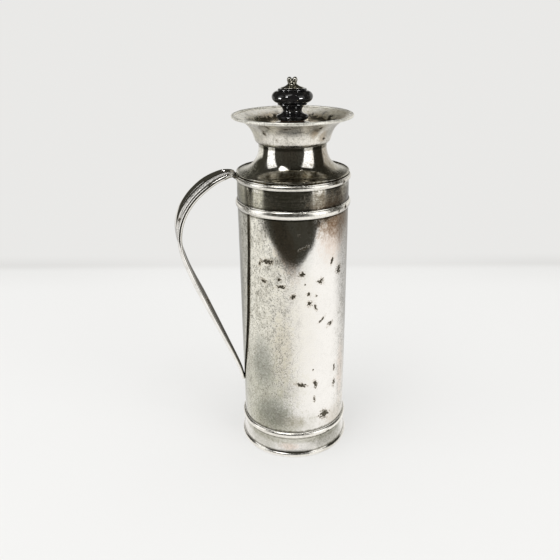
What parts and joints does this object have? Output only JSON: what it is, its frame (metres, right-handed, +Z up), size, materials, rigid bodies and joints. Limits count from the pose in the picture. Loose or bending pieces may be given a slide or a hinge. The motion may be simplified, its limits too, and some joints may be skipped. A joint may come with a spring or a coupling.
{
  "type": "vacuum jug",
  "caption": "Tall cylindrical insulated jug with a strap handle, screw-on shoulder, funnel collar, glass lining and a lift-out cork stopper with a turned knob.",
  "frame": {"origin": "on the axis of the case, in the plane that the foot stands on", "axes": "+Z up along the axis of the case, -X towards the handle, -Y towards the viewer"},
  "size_m": [0.1354, 0.0896, 0.2961],
  "materials": {
    "silver_plate": "worn polished silver plate with warm tarnish and dark pits",
    "black_knob": "glossy black, turned",
    "stopper_cork": "natural cork",
    "silvered_glass": "silvered glass",
    "thread_brass": "dull machined brass",
    "fitting_steel": "dull plated steel",
    "cushion_rubber": "matt black rubber",
    "pad_felt": "pressed felt",
    "washer_leather": "plain dark leather"
  },
  "bodies": {
    "case": {"body_tube": "silver_plate", "foot_bead": "silver_plate", "waist_bead": "silver_plate", "top_bead": "silver_plate", "foot_cup": "silver_plate", "handle_strap": "silver_plate", "case_thread_ring": "thread_brass", "glass_outer": "silvered_glass", "glass_inner": "silvered_glass", "vacuum_pad_1": "pad_felt", "vacuum_pad_2": "pad_felt", "vacuum_pad_3": "pad_felt", "liner_cushion": "cushion_rubber", "spring_plate": "fitting_steel", "support_spring": "fitting_steel"},
    "shoulder_carrier": {"neck_gasket": "cushion_rubber"},
    "shoulder": {"shoulder_neck": "silver_plate", "pouring_collar": "silver_plate", "rim_wire": "silver_plate"},
    "stopper": {"stopper_cork": "stopper_cork", "stopper_cap": "silver_plate", "knob_washer": "washer_leather", "knob": "black_knob", "finial_nut": "silver_plate", "stopper_rod": "fitting_steel", "stopper_washer": "fitting_steel", "rod_nut": "fitting_steel"}
  },
  "joints": [
    {"name": "shoulder_rise", "type": "slide", "parent": "case", "child": "shoulder_carrier", "axis": [0, 0, 1], "range_m": [0, 0.0051]},
    {"name": "shoulder_unscrew", "type": "hinge", "parent": "shoulder_carrier", "child": "shoulder", "pos_m": [0, 0, 0.23], "axis": [0, 0, 1], "range_deg": [0, 720]},
    {"name": "stopper_lift", "type": "slide", "parent": "shoulder", "child": "stopper", "axis": [0, 0, 1], "range_m": [0, 0.1]}
  ],
  "couplings": [
    {"joint": "shoulder_rise", "follows": "shoulder_unscrew", "m_per_rad": 0.00039789}
  ]
}
